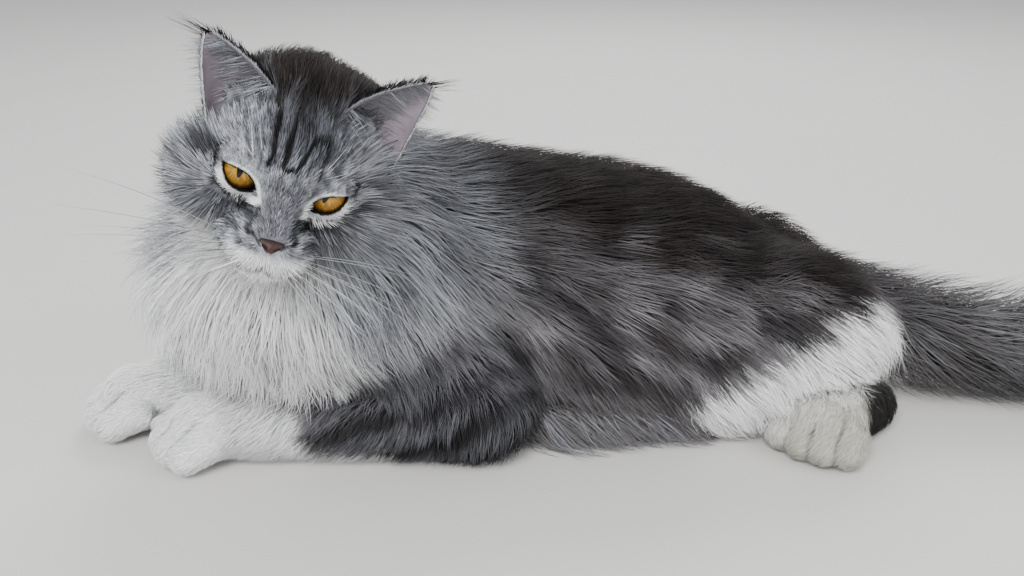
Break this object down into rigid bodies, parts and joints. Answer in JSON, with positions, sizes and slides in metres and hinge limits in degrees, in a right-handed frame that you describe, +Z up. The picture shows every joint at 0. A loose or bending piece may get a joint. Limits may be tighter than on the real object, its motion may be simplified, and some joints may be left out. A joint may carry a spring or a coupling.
{
  "type": "maine coon cat model",
  "caption": "Life-size still model of a long-haired maine coon cat lying with its forelegs stretched out, head turned to its left; for display.",
  "frame": {"origin": "on the floor, on the flat under the belly, half way between the shoulders and the hips", "axes": "+X from chest to tail, -Y to the cat's left side, +Z up from the floor"},
  "size_m": [0.8718, 0.2538, 0.2965],
  "materials": {
    "coat_grey": "long silver-grey fur with dark tabby marks",
    "coat_white": "white fur",
    "ear_skin": "thin pinkish-grey skin with fine pale hair",
    "nose_leather": "fine-grained, slightly moist brick-brown skin",
    "eye": "clear polished eye with an amber iris and a slit pupil"
  },
  "bodies": {
    "root": {"ear_left": "ear_skin", "ear_right": "ear_skin", "eye_left": "eye", "eye_right": "eye", "foreleg_left": "coat_grey", "foreleg_right": "coat_grey", "forepaw_left": "coat_white", "forepaw_right": "coat_white", "head": "coat_grey", "hindleg_left": "coat_grey", "hindleg_right": "coat_grey", "hindpaw_left": "coat_white", "hindpaw_right": "coat_white", "neck": "coat_grey", "nose": "nose_leather", "tail_base": "coat_grey", "tail_middle": "coat_grey", "tail_tip": "coat_grey", "torso": "coat_grey"}
  },
  "joints": []
}
